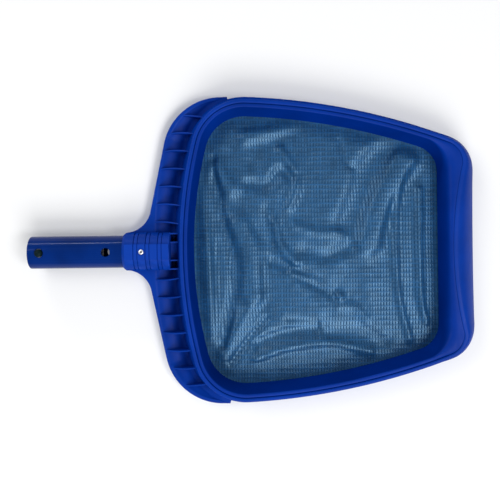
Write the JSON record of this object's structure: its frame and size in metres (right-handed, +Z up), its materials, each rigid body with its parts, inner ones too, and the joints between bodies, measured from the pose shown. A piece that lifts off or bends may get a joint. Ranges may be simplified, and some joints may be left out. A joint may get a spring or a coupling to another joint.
{
  "type": "leaf skimmer net",
  "caption": "Pool leaf skimmer: moulded frame with scoop lip and ribbed yoke, slack net under a clamp ring, and a riveted handle tube with sprung snap buttons.",
  "frame": {"origin": "middle of the bounding box on the floor that the skimmer lies on", "axes": "+X from the handle to the scoop lip, +Z up out of the net, +Y across the net"},
  "size_m": [0.39, 0.2742, 0.0347],
  "materials": {
    "frame_plastic": "satin blue polypropylene",
    "ring_plastic": "satin blue polypropylene",
    "net_cloth": "woven blue-grey polyester mesh",
    "hem_cord": "braided cord",
    "tube_plastic": "glossy dark blue",
    "rivet_metal": "bright",
    "mandrel_metal": "snapped wire end",
    "spring_metal": "spring steel",
    "button_plastic": "dark moulded"
  },
  "bodies": {
    "skimmer": {"frame": "frame_plastic", "clamp_ring": "ring_plastic", "net": "net_cloth", "net_hem": "hem_cord", "handle_tube": "tube_plastic", "rivet_body": "rivet_metal", "rivet_mandrel": "mandrel_metal", "clip_bend": "spring_metal"},
    "upper_arm": {"upper_leg": "spring_metal", "upper_button": "button_plastic"},
    "lower_arm": {"lower_leg": "spring_metal", "lower_button": "button_plastic"}
  },
  "joints": [
    {"name": "upper_button_press", "type": "hinge", "parent": "skimmer", "child": "upper_arm", "pos_m": [-0.1407, 0, 0.0255], "axis": [0, -1, 0], "range_deg": [0, 5], "stiffness_Nm_per_rad": 0.5, "springref_deg": -28.65},
    {"name": "lower_button_press", "type": "hinge", "parent": "skimmer", "child": "lower_arm", "pos_m": [-0.1407, 0, 0.0095], "axis": [0, 1, 0], "range_deg": [0, 5], "stiffness_Nm_per_rad": 0.5, "springref_deg": -28.65}
  ]
}
